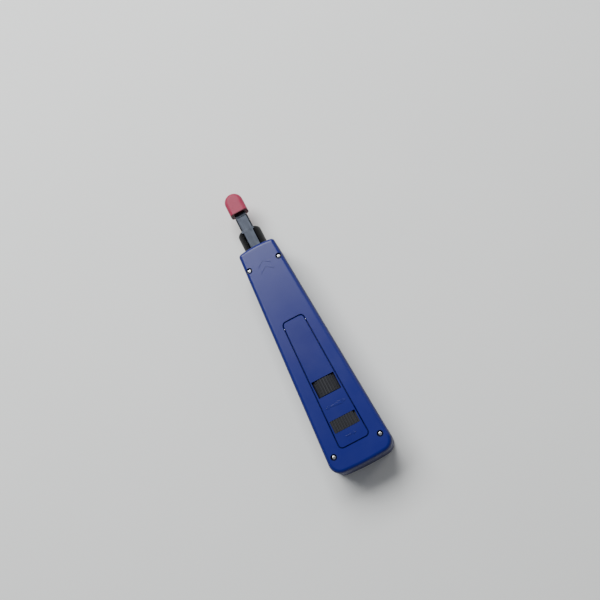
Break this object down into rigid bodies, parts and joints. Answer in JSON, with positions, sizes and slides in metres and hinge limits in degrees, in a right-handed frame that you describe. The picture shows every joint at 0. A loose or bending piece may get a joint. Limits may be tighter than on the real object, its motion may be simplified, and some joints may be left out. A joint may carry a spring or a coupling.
{
  "type": "impact punch down tool",
  "caption": "Flat tapered handle with a sprung blade holder, capped reversible blade, force wheel and a hinged blade compartment; seats wires in terminal blocks.",
  "frame": {"origin": "centre of the bounding footprint on the back face, which is z = 0", "axes": "+Y along the tool towards the blade tip, +Z out of the control face, +X to the right with the control face up and the tip away"},
  "size_m": [0.0382, 0.1806, 0.0263],
  "materials": {
    "shell_blue": "moulded ABS, light gloss",
    "door_blue": "moulded ABS, light gloss",
    "tray_plastic": "moulded, matt",
    "control_black": "moulded, fine spark texture",
    "holder_black": "black oxide",
    "bush_black": "acetal",
    "blade_steel": "ground, grey",
    "cutter_steel": "ground",
    "screw_nickel": "bright nickel plate",
    "bright_steel": "turned",
    "spring_steel": "drawn wire",
    "cap_vinyl": "soft vinyl"
  },
  "bodies": {
    "casing": {"rear_shell": "shell_blue", "front_shell": "shell_blue", "case_screws": "screw_nickel", "nose_bush": "bush_black", "trip_cam": "bright_steel", "blade_tray": "tray_plastic", "door_hinge_pin": "bright_steel", "thrust_washer": "bright_steel", "return_spring": "spring_steel", "main_spring": "spring_steel"},
    "plunger": {"blade_holder": "holder_black", "holder_pin": "bright_steel", "striker_rod": "bright_steel", "rod_clip": "spring_steel", "detent_ball": "bright_steel", "detent_spring": "spring_steel", "detent_plug": "bright_steel"},
    "hammer_group": {"hammer": "bright_steel", "latch_band": "spring_steel", "trip_latch_spring": "spring_steel"},
    "trip_plate": {"trip_latch": "bright_steel"},
    "wheel_group": {"force_wheel": "control_black", "adjusting_screw": "bright_steel"},
    "seat": {"spring_seat": "bright_steel"},
    "door": {"storage_door": "door_blue"},
    "latch": {"door_latch": "control_black"},
    "blade": {"blade_body": "blade_steel", "blade_cutter": "cutter_steel", "cutter_rivets": "bright_steel"},
    "cap": {"tip_cap": "cap_vinyl"}
  },
  "joints": [
    {"name": "plunger_press", "type": "slide", "parent": "casing", "child": "plunger", "axis": [0, -1, 0], "range_m": [0, 0.008], "stiffness_N_per_m": 400, "springref_m": -0.012, "deforming": ["return_spring"]},
    {"name": "hammer_slide", "type": "slide", "parent": "casing", "child": "hammer_group", "axis": [0, -1, 0], "range_m": [0, 0.008], "deforming": ["main_spring"]},
    {"name": "trip_latch_shift", "type": "slide", "parent": "hammer_group", "child": "trip_plate", "axis": [-1, 0, 0], "range_m": [0, 0.0012], "deforming": ["trip_latch_spring"]},
    {"name": "wheel_turn", "type": "hinge", "parent": "casing", "child": "wheel_group", "pos_m": [0, -0.04245, 0.0142], "axis": [0, 1, 0], "range_deg": [0, 300]},
    {"name": "seat_slide", "type": "slide", "parent": "casing", "child": "seat", "axis": [0, 1, 0], "range_m": [0, 0.0025], "deforming": ["main_spring"]},
    {"name": "door_open", "type": "hinge", "parent": "casing", "child": "door", "pos_m": [0, -0.0029, 0.0251], "axis": [-1, 0, 0], "range_deg": [0, 100]},
    {"name": "latch_slide", "type": "slide", "parent": "door", "child": "latch", "axis": [1, 0, 0], "range_m": [0, 0.0013]},
    {"name": "blade_pull", "type": "slide", "parent": "plunger", "child": "blade", "axis": [0, 1, 0], "range_m": [0, 0.024]},
    {"name": "cap_pull", "type": "slide", "parent": "blade", "child": "cap", "axis": [0, 1, 0], "range_m": [0, 0.014]}
  ],
  "couplings": [
    {"joint": "hammer_slide", "follows": "plunger_press", "ratio": 1},
    {"joint": "trip_latch_shift", "follows": "plunger_press", "ratio": 0.15},
    {"joint": "seat_slide", "follows": "wheel_turn", "m_per_rad": 0.00047746}
  ]
}
